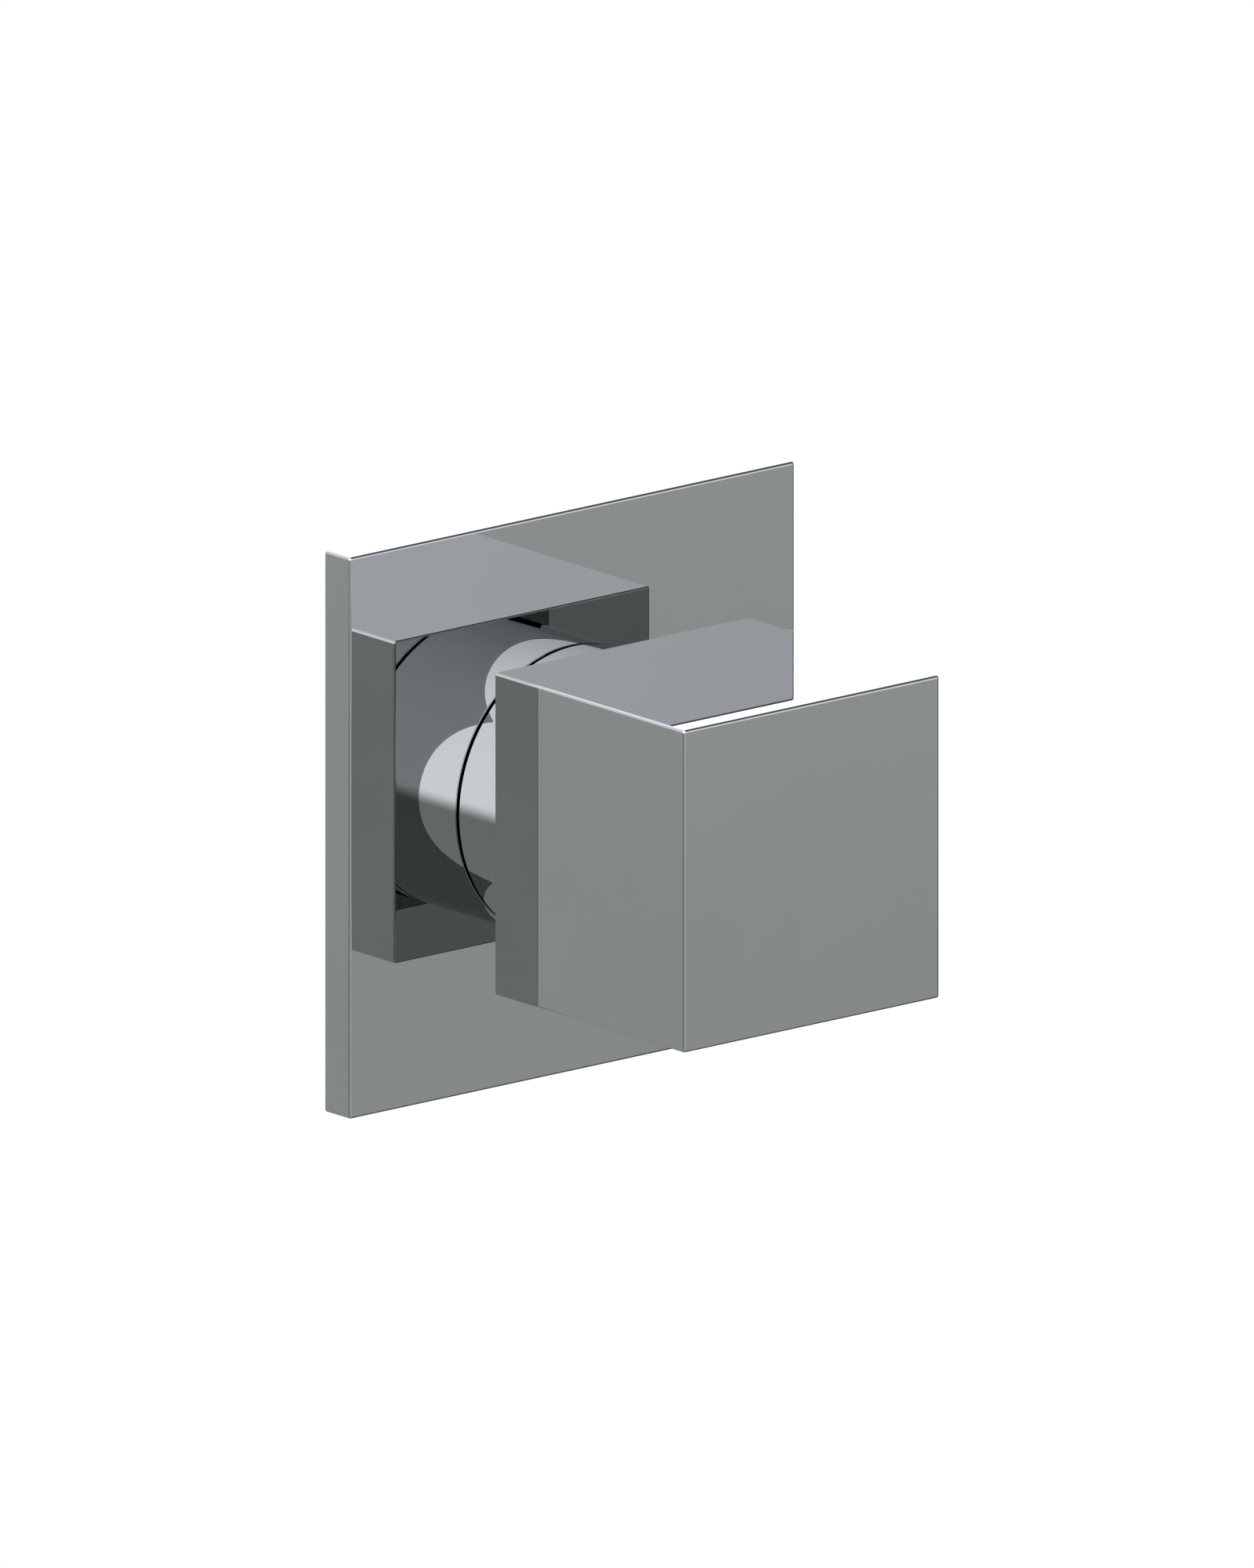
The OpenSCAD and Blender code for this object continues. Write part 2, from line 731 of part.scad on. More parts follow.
// Octagonal end of the body round the upper port, with two flats square to the wall
module port_octagon() {
  rotate(180 / octagon_sides)
    flats_rod(port_reach - port_flat_long, port_reach, 2 * port_flat_r, octagon_sides);
}

// Threaded port with a bevelled mouth, drawn with the mouth's face at the reach
module port_bore() {
  rod(port_end, port_reach + over, port_r);
  rotate_extrude() polygon([
    [0, port_reach - port_bevel], [port_r, port_reach - port_bevel],
    [port_r + port_bevel + over, port_reach + over], [0, port_reach + over]
  ]);
}

// Brass body: upright barrel with a port at each end, and the boss and neck that face the room
module valve_body() {
  color(brass_colour) difference() {
    union() {
      translate([0, pipe_back, 0]) {
        rod(-port_reach, port_reach, barrel_r);
        port_octagon();
        mirror([0, 0, 1]) port_octagon();
      }
      out_of_wall() {
        rod(-pipe_back, neck_front - neck_long + over, boss_d / 2);
        bevelled_rod(neck_front - neck_long, neck_front, neck_r, port_bevel);
      }
    }
    translate([0, pipe_back, 0]) {
      port_bore();
      mirror([0, 0, 1]) port_bore();
    }
    out_of_wall() {
      rod(thread_back - loose_play, neck_front + over, neck_thread_r);
      rod(neck_front - housing_relief_long, neck_front + over, ring_seat_r);
      rod(seat_at, thread_back, chamber_d / 2);
      rod(-inlet_way_back, seat_at + over, seat_hole_d / 2);
    }
    translate([0, inlet_way_back, -port_end - over])
      cylinder(h = port_end + over, d = inlet_way_d);
    translate([0, outlet_way_back, 0])
      cylinder(h = port_end + over, d = outlet_way_d);
  }
}

cover_plate();
plate_gasket();
plate_collar();
collar_o_ring();
sleeve();
glide_ring();
handle();
set_screw();
handle_adapter();
adapter_screw();
adapter_washer();
stem();
stem_clip();
stem_o_rings();
thrust_washer();
upper_disc();
lower_disc();
seat_seal();
cartridge_housing();
housing_o_ring();
valve_body();
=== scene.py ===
"""Finish, light and camera for the shower volume control valve.

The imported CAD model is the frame. The mirror-bright pieces, the turned pieces that show and the
valve's body are remade here in the same places, with fine round walls and true normals, because a
mirror shows every facet. All positions are in metres, in the frame: +Z up, +X right, the front
faces -Y, and the origin lies on the stem's axis at the wall surface. A height is a distance out of
the wall.
"""

import json
import math

import bmesh
import bpy
from mathutils import Matrix, Vector
from mathutils.geometry import tessellate_polygon

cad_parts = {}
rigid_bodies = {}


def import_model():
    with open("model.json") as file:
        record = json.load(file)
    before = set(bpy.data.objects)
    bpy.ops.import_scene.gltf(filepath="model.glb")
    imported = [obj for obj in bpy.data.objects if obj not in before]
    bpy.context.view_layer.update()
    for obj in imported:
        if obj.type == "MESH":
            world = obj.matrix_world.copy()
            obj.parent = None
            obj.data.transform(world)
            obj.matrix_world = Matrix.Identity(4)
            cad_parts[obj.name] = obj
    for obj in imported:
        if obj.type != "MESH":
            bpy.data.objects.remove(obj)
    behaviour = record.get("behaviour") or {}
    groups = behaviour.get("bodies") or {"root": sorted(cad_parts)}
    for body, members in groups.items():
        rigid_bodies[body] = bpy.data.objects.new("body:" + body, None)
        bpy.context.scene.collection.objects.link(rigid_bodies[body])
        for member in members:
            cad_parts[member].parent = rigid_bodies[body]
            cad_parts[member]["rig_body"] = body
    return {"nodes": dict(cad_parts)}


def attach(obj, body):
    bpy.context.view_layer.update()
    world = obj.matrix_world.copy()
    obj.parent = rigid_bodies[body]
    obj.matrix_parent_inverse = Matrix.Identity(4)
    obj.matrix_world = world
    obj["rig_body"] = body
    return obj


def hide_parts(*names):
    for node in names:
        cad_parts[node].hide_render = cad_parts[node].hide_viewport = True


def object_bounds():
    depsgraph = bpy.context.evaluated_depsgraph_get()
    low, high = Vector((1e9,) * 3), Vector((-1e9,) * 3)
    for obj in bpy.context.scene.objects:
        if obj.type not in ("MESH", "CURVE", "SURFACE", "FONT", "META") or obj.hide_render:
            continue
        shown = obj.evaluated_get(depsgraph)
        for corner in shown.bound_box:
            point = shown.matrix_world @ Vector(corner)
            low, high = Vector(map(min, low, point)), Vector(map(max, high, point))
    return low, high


MM = 0.001

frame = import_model()
nodes = frame["nodes"]
cad_low, cad_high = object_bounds()

# The photograph's view: an orthographic camera, measured on the plate's edges. The point at
# AIM_HEIGHT on the stem's axis lies at AIM_PX in the photograph
PHOTO_WIDE_PX, PHOTO_HIGH_PX = 1600, 2000
PX_PER_MM = 10.587
AIM_HEIGHT = 4.5 * MM
AIM_PX = (728.15, 1007.75)
VIEW_AZIMUTH = math.radians(-40)
VIEW_ELEVATION = math.radians(15)
CAMERA_DISTANCE = 1.0
CAMERA_NEAR, CAMERA_FAR = 0.01, 20.0

# Sizes of the remade pieces, as the CAD model has them
PLATE_THICK = 4.8 * MM
PLATE_SKIN = 2.0 * MM
PLATE_HOLE_R = 15.45 * MM
RECESS_R = 22.05 * MM
GASKET_DEEP = 1.5 * MM
GASKET_OUTER = 32.6 * MM
GASKET_INNER = 25.4 * MM
GRIP_BACK = 14.2 * MM
GRIP_FRONT = 49.7 * MM
GRIP_HALF = 20.1 * MM
HUB_R = 18.1 * MM
HUB_BEVEL = 0.1 * MM
HUB_END = 5.1 * MM
HUB_BORE_R = 15.1 * MM
HUB_BORE_FRONT = 16.85 * MM
ADAPTER_BORE_R = 7.85 * MM
ADAPTER_BORE_FRONT = 39.25 * MM
SET_SCREW_HEIGHT = 35.85 * MM
SET_HOLE_R = 2.55 * MM
COLLAR_R = 22.0 * MM
COLLAR_BORE_R = 17.8 * MM
COLLAR_FRONT = 2.8 * MM
COLLAR_BACK = -5.2 * MM
COLLAR_BEVEL = 0.6 * MM
FLANGE_R = 17.5 * MM
FLANGE_FRONT = 2.5 * MM
SKIRT_BACK = -6.586 * MM
SKIRT_BORE_R = 14.1 * MM
NECK_FRONT = -1.0 * MM
NOSE_R = 14.1 * MM
NOSE_BORE_R = 12.6 * MM
NOSE_FRONT = 12.3 * MM
GLIDE_GROOVE_R = 13.5 * MM
GLIDE_FRONT = 11.3 * MM
GLIDE_LONG = 5.0 * MM
PIPE_BACK = 20.02 * MM
PORT_REACH = 22.5 * MM
PORT_END = 12.0 * MM
PORT_R = 10.4775 * MM
PORT_FLAT_LONG = 8.0 * MM
PORT_CORNER_R = 14.0 * MM
PORT_SIDES = 8
BARREL_R = 12.8 * MM
BOSS_R = 12.5 * MM
NECK_BACK = -8.5 * MM
NECK_R = 14.0 * MM
NECK_BEVEL = 0.7 * MM
NECK_THREAD_R = 10.5775 * MM
NECK_THREAD_BACK = -8.8 * MM
RING_SEAT_R = 12.1 * MM
RING_SEAT_BACK = -2.8 * MM
CHAMBER_R = 10.0 * MM
SEAT_HOLE_R = 5.5 * MM
INLET_WAY_BACK = 26.32 * MM
INLET_WAY_R = 4.0 * MM
OUTLET_WAY_BACK = 14.22 * MM
OUTLET_WAY_R = 4.5 * MM

# Sizes that differ from the CAD's. The edges of the plate and the grip are rounded as the
# photograph's light lines show, where the CAD has 0.35 mm. The ports' mouths have a bevel of 0.7 mm
# there, and their octagons and the sleeve's edges have none. The set screw's hole ends just short
# of the adapter's bore, which it meets there
EDGE_R = 0.32 * MM
GRIP_BACK_EDGE_R = 0.22 * MM
PORT_BEVEL = 0.8 * MM
CAST_BEVEL = 0.4 * MM
TURNED_BEVEL = 0.3 * MM
SET_HOLE_END = 8.0 * MM

# How far a solid that cuts reaches past what it cuts, and the slack round the machined parts
OVER = 0.1 * MM

# The G 1/2 thread in the ports: its ridge from the wall to the crest, how far it runs, in how many
# steps it grows to its full size at each end, and from what share of it
THREAD_PITCH = 1.814 * MM
THREAD_CREST_R = 9.316 * MM
THREAD_SINK = 0.05 * MM
THREAD_FOOT_HALF = 0.76 * MM
THREAD_CREST_HALF = 0.16 * MM
THREAD_LONG = 8.6 * MM
THREAD_STEPS = 72
THREAD_RUN_OUT = 24
THREAD_LEAST = 0.02

# Steps round a full circle, and round the quarter circle of a rounded edge or corner
CIRCLE_STEPS = 256
CAST_STEPS = CIRCLE_STEPS // 2
SET_HOLE_STEPS = CIRCLE_STEPS // 4
EDGE_STEPS = 6

# Faces of the body and its threads that meet at more than this have a sharp edge between them
SHARP_ANGLE = math.radians(30)

OUT = Vector((0, -1, 0))
BACK = Vector((0, 1, 0))
UP = Vector((0, 0, 1))
ACROSS = Vector((1, 0, 0))
ORIGIN = Vector((0, 0, 0))
PIPE = PIPE_BACK * BACK
QUARTERS = [Vector((1, 0, 1)), Vector((-1, 0, 1)), Vector((-1, 0, -1)), Vector((1, 0, -1))]


def add_object(name, data):
    """Puts a mesh or a camera in the scene as an object."""
    obj = bpy.data.objects.new(name, data)
    bpy.context.scene.collection.objects.link(obj)
    return obj


def smooth_but_for_edges(mesh):
    """Smooth shading that stops at sharp edges."""
    mesh.shade_smooth()
    mesh.set_sharp_from_angle(angle=SHARP_ANGLE)


class Shell:
    """Points and faces of one closed piece, with the true normal at every corner of every face."""

    def __init__(self):
        self.points = []
        self.faces = []
        self.normals = []
        self.smooth = []

    def loop(self, points):
        """Adds a ring of points and returns their numbers."""
        start = len(self.points)
        self.points += [Vector(p) for p in points]
        return list(range(start, len(self.points)))

    def face(self, corners, normals, smooth):
        """Adds one face, turned so that it looks the way its normals point."""
        a, b, c = (self.points[i] for i in corners[:3])
        across = (b - a).cross(c - a)
        if across.length < 1e-14 and len(corners) > 3:
            across = (c - a).cross(self.points[corners[3]] - a)
        if across.dot(sum(normals, Vector())) < 0:
            corners, normals = corners[::-1], normals[::-1]
        self.faces.append(corners)
        self.normals.append(normals)
        self.smooth.append(smooth)

    def strip(self, one, other, normals_one, normals_other):
        """Joins two closed rings of as many points by four-sided faces."""
        count = len(one)
        for i in range(count):
            j = (i + 1) % count
            corners = [one[i], one[j], other[j], other[i]]
            normals = [normals_one[i], normals_one[j], normals_other[j], normals_other[i]]
            self.face(corners, normals, True)

    def flat(self, rings, normal):
        """Fills a flat outline, the first ring, and leaves the other rings as holes in it."""
        numbers = [i for ring in rings for i in ring]
        outlines = [[self.points[i] for i in ring] for ring in rings]
        for triangle in tessellate_polygon(outlines):
            self.face([numbers[i] for i in triangle], [normal] * 3, False)

    def build(self, name):
        """Makes the mesh object in the scene."""
        mesh = bpy.data.meshes.new(name)
        mesh.from_pydata(self.points, [], self.faces)
        mesh.polygons.foreach_set("use_smooth", self.smooth)
        mesh.normals_split_custom_set([n for face in self.normals for n in face])
        mesh.update()
        return add_object(name, mesh)


def ring_directions(steps=CIRCLE_STEPS):
    """Unit directions in the wall's plane, all round."""
    turns = [2 * math.pi * i / steps for i in range(steps)]
    return [Vector((math.cos(t), 0, math.sin(t))) for t in turns]


RING = ring_directions()
RING_INWARD = [-d for d in RING]


def circle(shell, radius, height):
    """Ring of points round the stem's axis."""
    return shell.loop(radius * d + height * OUT for d in RING)


def square(shell, half, height):
    """Ring of the four corners of a square round the stem's axis."""
    return shell.loop(half * quarter + height * OUT for quarter in QUARTERS)


def corner_directions():
    """For a square with rounded corners: each point's quarter and its direction there."""
    found = []
    for quarter in range(4):
        for step in range(EDGE_STEPS + 1):
            turn = math.pi / 2 * (quarter + step / EDGE_STEPS)
            found.append((quarter, Vector((math.cos(turn), 0, math.sin(turn)))))
    return found


CORNERS = corner_directions()


def rounded_square(shell, half, edge, tilt, face_height, side):
    """Ring on a block's rounded edge, with its normals.

    tilt runs from 0 on the walls to a quarter turn on the face. side is 1 on the edge of a front
    face and -1 on that of a back face. The corners between the walls are rounded by EDGE_R.
    """
    inner = half - EDGE_R
    wall_part, face_part = math.cos(tilt), math.sin(tilt)
    height = face_height - side * edge * (1 - face_part)
    corner = EDGE_R - edge * (1 - wall_part)
    points = [inner * QUARTERS[q] + corner * d + height * OUT for q, d in CORNERS]
    normals = [wall_part * d + side * face_part * OUT for _, d in CORNERS]
    return shell.loop(points), normals


def rounded_edge(shell, half, edge, face_height, side):
    """The rounded edge of a block's face.

    Returns its ring on the face, and its ring on the walls with that ring's normals.
    """
    rings = []
    for step in range(EDGE_STEPS + 1):
        tilt = math.pi / 2 * step / EDGE_STEPS
        rings.append(rounded_square(shell, half, edge, tilt, face_height, side))
    for (one, normals_one), (other, normals_other) in zip(rings, rings[1:]):
        shell.strip(one, other, normals_one, normals_other)
    return rings[-1][0], rings[0]


def wall(shell, one, other, normals):
    """Wall between two rings with the same normals on both."""
    shell.strip(one, other, normals, normals)


def square_wall(shell, one, other, inward):
    """Four flat walls between two square rings."""
    for i in range(4):
        j = (i + 1) % 4
        middle = shell.points[one[i]] + shell.points[one[j]]
        normal = Vector((middle.x, 0, middle.z)).normalized()
        corners = [one[i], one[j], other[j], other[i]]
        shell.face(corners, [-normal if inward else normal] * 4, False)


def turned(name, profile):
    """Piece turned about the stem's axis. The profile is a closed outline of (radius, height)."""
    shell = Shell()
    count = len(profile)
    area = sum(
        profile[i][0] * profile[(i + 1) % count][1] - profile[(i + 1) % count][0] * profile[i][1]
        for i in range(count)
    )
    outward = 1 if area > 0 else -1
    rings = [circle(shell, radius, height) for radius, height in profile]
    for i in range(count):
        j = (i + 1) % count
        d_radius = profile[j][0] - profile[i][0]
        d_height = profile[j][1] - profile[i][1]
        long = math.hypot(d_radius, d_height)
        side_part, out_part = outward * d_height / long, -outward * d_radius / long
        normals = [side_part * d + out_part * OUT for d in RING]
        wall(shell, rings[i], rings[j], normals)
    return shell.build(name)


def make_cover_plate():
    """Square plate with its hole, and at the back the collar's and the gasket's recesses."""
    shell = Shell()
    half = cad_high.x
    front_ring, (front_side, side_normals) = rounded_edge(shell, half, EDGE_R, PLATE_THICK, 1)
    back_ring, (back_side, _) = rounded_edge(shell, half, EDGE_R, 0, -1)
    wall(shell, front_side, back_side, side_normals)
    hole_front = circle(shell, PLATE_HOLE_R, PLATE_THICK)
    hole_back = circle(shell, PLATE_HOLE_R, PLATE_THICK - PLATE_SKIN)
    recess_front = circle(shell, RECESS_R, PLATE_THICK - PLATE_SKIN)
    recess_back = circle(shell, RECESS_R, 0)
    shell.flat([front_ring, hole_front], OUT)
    wall(shell, hole_front, hole_back, RING_INWARD)
    shell.flat([recess_front, hole_back], BACK)
    wall(shell, recess_front, recess_back, RING_INWARD)
    outer_back = square(shell, GASKET_OUTER, 0)
    outer_floor = square(shell, GASKET_OUTER, GASKET_DEEP)
    inner_back = square(shell, GASKET_INNER, 0)
    inner_floor = square(shell, GASKET_INNER, GASKET_DEEP)
    shell.flat([back_ring, outer_back], BACK)
    square_wall(shell, outer_back, outer_floor, inward=True)
    shell.flat([outer_floor, inner_floor], BACK)
    square_wall(shell, inner_floor, inner_back, inward=False)
    shell.flat([inner_back, recess_back], BACK)
    return shell.build("plate_mirror")


def make_handle():
    """Cube grip and hub in one, bored from the back, with the set screw's hole underneath."""
    shell = Shell()
    front_ring, (front_side, side_normals) = rounded_edge(shell, GRIP_HALF, EDGE_R, GRIP_FRONT, 1)
    back_ring, (back_side, _) = rounded_edge(shell, GRIP_HALF, GRIP_BACK_EDGE_R, GRIP_BACK, -1)
    shell.flat([front_ring], OUT)
    bottom = handle_walls(shell, front_side, back_side, side_normals)
    set_screw_hole(shell, bottom)
    hub_root = circle(shell, HUB_R, GRIP_BACK)
    hub_low = circle(shell, HUB_R, HUB_END + HUB_BEVEL)
    hub_rim = circle(shell, HUB_R - HUB_BEVEL, HUB_END)
    mouth = circle(shell, HUB_BORE_R + HUB_BEVEL, HUB_END)
    bore_back = circle(shell, HUB_BORE_R, HUB_END + HUB_BEVEL)
    bore_front = circle(shell, HUB_BORE_R, HUB_BORE_FRONT)
    seat_back = circle(shell, ADAPTER_BORE_R, HUB_BORE_FRONT)
    seat_front = circle(shell, ADAPTER_BORE_R, ADAPTER_BORE_FRONT)
    shell.flat([back_ring, hub_root], BACK)
    wall(shell, hub_root, hub_low, RING)
    slope = math.sqrt(0.5)
    wall(shell, hub_low, hub_rim, [slope * (d + BACK) for d in RING])
    shell.flat([hub_rim, mouth], BACK)
    wall(shell, mouth, bore_back, [slope * (BACK - d) for d in RING])
    wall(shell, bore_back, bore_front, RING_INWARD)
    shell.flat([bore_front, seat_back], BACK)
    wall(shell, seat_back, seat_front, RING_INWARD)
    shell.flat([seat_front], BACK)
    return shell.build("handle_mirror")


def handle_walls(shell, one, other, normals):
    """The grip's walls and rounded corners but for the bottom wall, whose corners it returns."""
    count = len(one)
    bottom_start = 3 * (EDGE_STEPS + 1) - 1
    for i in range(count):
        j = (i + 1) % count
        if i == bottom_start:
            continue
        corners = [one[i], one[j], other[j], other[i]]
        shell.face(corners, [normals[i], normals[j], normals[j], normals[i]], True)
    i, j = bottom_start, bottom_start + 1
    return [one[i], one[j], other[j], other[i]]


def set_screw_hole(shell, bottom):
    """Round hole up into the bottom wall, which is filled round it."""
    around = [Vector((d.x, d.z, 0)) for d in ring_directions(SET_HOLE_STEPS)]
    centre = SET_SCREW_HEIGHT * OUT
    mouth = shell.loop(centre + SET_HOLE_R * d - GRIP_HALF * UP for d in around)
    end = shell.loop(centre + SET_HOLE_R * d - SET_HOLE_END * UP for d in around)
    shell.flat([bottom, mouth], -UP)
    wall(shell, mouth, end, [-d for d in around])
    shell.flat([end], -UP)


def make_collar():
    """Plastic collar on the plate's back.

    The CAD's groove for the O-ring is left out, and the bore has a small bevel at the back.
    """
    bevel = COLLAR_BEVEL
    return turned(
        "collar_ring",
        [
            (COLLAR_BORE_R, COLLAR_BACK + bevel / 2),
            (COLLAR_BORE_R + bevel / 2, COLLAR_BACK),
            (COLLAR_R - bevel, COLLAR_BACK),
            (COLLAR_R, COLLAR_BACK + bevel),
            (COLLAR_R, COLLAR_FRONT),
            (COLLAR_BORE_R, COLLAR_FRONT),
        ],
    )


def make_sleeve():
    """Sleeve with its skirt, flange and nose, and the glide ring's groove."""
    bevel = TURNED_BEVEL
    glide_back = GLIDE_FRONT - GLIDE_LONG
    return turned(
        "sleeve_turned",
        [
            (SKIRT_BORE_R + bevel, SKIRT_BACK),
            (FLANGE_R - bevel, SKIRT_BACK),
            (FLANGE_R, SKIRT_BACK + bevel),
            (FLANGE_R, FLANGE_FRONT - bevel),
            (FLANGE_R - bevel, FLANGE_FRONT),
            (NOSE_R, FLANGE_FRONT),
            (NOSE_R, glide_back),
            (GLIDE_GROOVE_R, glide_back),
            (GLIDE_GROOVE_R, GLIDE_FRONT),
            (NOSE_R, GLIDE_FRONT),
            (NOSE_R, NOSE_FRONT - bevel),
            (NOSE_R - bevel, NOSE_FRONT),
            (NOSE_BORE_R, NOSE_FRONT),
            (NOSE_BORE_R, NECK_FRONT),
            (SKIRT_BORE_R, NECK_FRONT),
            (SKIRT_BORE_R, SKIRT_BACK + bevel),
        ],
    )


def spun(name, origin, axis, profile, sides=CAST_STEPS, turn=0.0):
    """Closed solid about an axis. The profile is a list of (place along the axis, radius)."""
    upright = axis.z != 0
    across = ACROSS if upright else axis.orthogonal().normalized()
    beside = axis.cross(across)
    points = []
    for along, radius in profile:
        for i in range(sides):
            angle = turn + 2 * math.pi * i / sides
            spoke = math.cos(angle) * across + math.sin(angle) * beside
            points.append(origin + along * axis + radius * spoke)
    faces = []
    for k in range(len(profile) - 1):
        for i in range(sides):
            j = (i + 1) % sides
            faces.append([k * sides + i, k * sides + j, (k + 1) * sides + j, (k + 1) * sides + i])
    faces.append(list(range(sides))[::-1])
    faces.append(list(range((len(profile) - 1) * sides, len(profile) * sides)))
    mesh = bpy.data.meshes.new(name)
    mesh.from_pydata(points, [], faces)
    return add_object(name, mesh)


def rod(name, origin, axis, start, end, radius):
    """Plain round solid between two places along an axis."""
    return spun(name, origin, axis, [(start, radius), (end, radius)])


def combine(name, joined, cut):
    """One solid from some that are joined and others that are cut out. The tools are deleted."""
    base = joined[0]
    tools = [(tool, "UNION") for tool in joined[1:]] + [(tool, "DIFFERENCE") for tool in cut]
    for tool, operation in tools:
        step = base.modifiers.new("step", "BOOLEAN")
        step.object = tool
        step.operation = operation
        step.solver = "EXACT"
    depsgraph = bpy.context.evaluated_depsgraph_get()
    mesh = bpy.data.meshes.new_from_object(base.evaluated_get(depsgraph))
    for tool in joined + cut:
        bpy.data.objects.remove(tool)
    mesh.name = name
    smooth_but_for_edges(mesh)
    return add_object(name, mesh)


def make_valve_body():
    """Brass body: upright barrel with an octagonal port at each end, the boss and the neck."""
    octagon = [
        (PORT_REACH - PORT_FLAT_LONG, PORT_CORNER_R - CAST_BEVEL),
        (PORT_REACH - PORT_FLAT_LONG + CAST_BEVEL, PORT_CORNER_R),
        (PORT_REACH - CAST_BEVEL, PORT_CORNER_R),
        (PORT_REACH, PORT_CORNER_R - CAST_BEVEL),
    ]
    neck = [
        (NECK_BACK, NECK_R - NECK_BEVEL),
        (NECK_BACK + NECK_BEVEL, NECK_R),
        (NECK_FRONT - NECK_BEVEL, NECK_R),
        (NECK_FRONT, NECK_R - NECK_BEVEL),
    ]
    bore = [
        (PORT_END, PORT_R),
        (PORT_REACH - PORT_BEVEL, PORT_R),
        (PORT_REACH + OVER, PORT_R + PORT_BEVEL + OVER),
    ]
    barrel_end = PORT_REACH - 2 * CAST_BEVEL
    half_side = math.pi / PORT_SIDES
    joined = [
        rod("barrel", PIPE, UP, -barrel_end, barrel_end, BARREL_R),
        spun("outlet_end", PIPE, UP, octagon, PORT_SIDES, half_side),
        spun("inlet_end", PIPE, -UP, octagon, PORT_SIDES, half_side),
        rod("boss", ORIGIN, OUT, -PIPE_BACK, NECK_BACK + NECK_BEVEL, BOSS_R),
        spun("neck", ORIGIN, OUT, neck),
    ]
    mouth = NECK_FRONT + OVER
    way_end = PORT_END + OVER
    cut = [
        spun("outlet_bore", PIPE, UP, bore),
        spun("inlet_bore", PIPE, -UP, bore),
        rod("neck_thread", ORIGIN, OUT, NECK_THREAD_BACK, mouth, NECK_THREAD_R),
        rod("ring_seat", ORIGIN, OUT, RING_SEAT_BACK, mouth, RING_SEAT_R),
        rod("chamber", ORIGIN, OUT, -PIPE_BACK, NECK_THREAD_BACK + OVER, CHAMBER_R),
        rod("seat_hole", ORIGIN, OUT, -INLET_WAY_BACK, OVER - PIPE_BACK, SEAT_HOLE_R),
        rod("inlet_way", INLET_WAY_BACK * BACK, -UP, 0, way_end, INLET_WAY_R),
        rod("outlet_way", OUTLET_WAY_BACK * BACK, UP, 0, way_end, OUTLET_WAY_R),
    ]
    return combine("body_cast", joined, cut)


def make_port_thread(name, outward):
    """Right-handed thread ridge in a port. outward is the way its pipe leaves."""
    beside = outward.cross(ACROSS)
    turns = THREAD_LONG / THREAD_PITCH
    count = int(turns * THREAD_STEPS)
    start = PORT_REACH - PORT_BEVEL - THREAD_FOOT_HALF - THREAD_LONG
    foot_r = PORT_R + THREAD_SINK
    points = []
    for i in range(count + 1):
        angle = 2 * math.pi * i / THREAD_STEPS
        rise = min(1.0, i / THREAD_RUN_OUT, (count - i) / THREAD_RUN_OUT)
        grown = max(rise, THREAD_LEAST)
        crest_r = PORT_R - grown * (PORT_R - THREAD_CREST_R)
        foot, crest = grown * THREAD_FOOT_HALF, grown * THREAD_CREST_HALF
        middle = PIPE + (start + THREAD_PITCH * i / THREAD_STEPS) * outward
        spoke = math.cos(angle) * ACROSS + math.sin(angle) * beside
        section = [(foot_r, -foot), (crest_r, -crest), (crest_r, crest), (foot_r, foot)]
        points += [middle + radius * spoke + half * outward for radius, half in section]
    faces = []
    for i in range(count):
        for k in range(4):
            m = (k + 1) % 4
            faces.append([4 * i + k, 4 * i + m, 4 * i + 4 + m, 4 * i + 4 + k])
    faces.append([3, 2, 1, 0])
    faces.append([4 * count + k for k in range(4)])
    mesh = bpy.data.meshes.new(name)
    mesh.from_pydata(points, [], faces)
    whole = bmesh.new()
    whole.from_mesh(mesh)
    bmesh.ops.recalc_face_normals(whole, faces=whole.faces)
    whole.to_mesh(mesh)
    whole.free()
    smooth_but_for_edges(mesh)
    return add_object(name, mesh)


def set_or_link(tree, socket, value):
    """Gives a socket a value, or links another node's output to it."""
    if isinstance(value, bpy.types.NodeSocket):
        tree.links.new(value, socket)
    else:
        socket.default_value = value


def put(tree, kind, inputs=None, **settings):
    """Adds a shader node, sets its options, and sets or links its inputs."""
    node = tree.nodes.new(kind)
    for name, value in settings.items():
        setattr(node, name, value)
    for name, value in (inputs or {}).items():
        set_or_link(tree, node.inputs[name], value)
    return node


def calc(tree, operation, one, other=0.0):
    """A Math node's result."""
    node = put(tree, "ShaderNodeMath", operation=operation)
    for socket, value in zip(node.inputs, (one, other)):
        set_or_link(tree, socket, value)
    return node.outputs[0]


def diagonal(tree, one, other):
    """Distance that two distances at right angles make together."""
    squares = [calc(tree, "MULTIPLY", side, side) for side in (one, other)]
    return calc(tree, "SQRT", calc(tree, "ADD", *squares))


def spread(tree, value, low, high, to_low=0.0, to_high=1.0, smooth=False):
    """Maps a value from one range to another, clamped."""
    inputs = {"Value": value, "From Min": low, "From Max": high, "To Min": to_low, "To Max": to_high}
    kind = "SMOOTHSTEP" if smooth else "LINEAR"
    return put(tree, "ShaderNodeMapRange", inputs, interpolation_type=kind).outputs[0]


def noise(tree, place, size, detail=3.0):
    """Noise whose lumps are about that size, in metres."""
    inputs = {"Vector": place, "Scale": 1 / size, "Detail": detail}
    return put(tree, "ShaderNodeTexNoise", inputs).outputs[0]


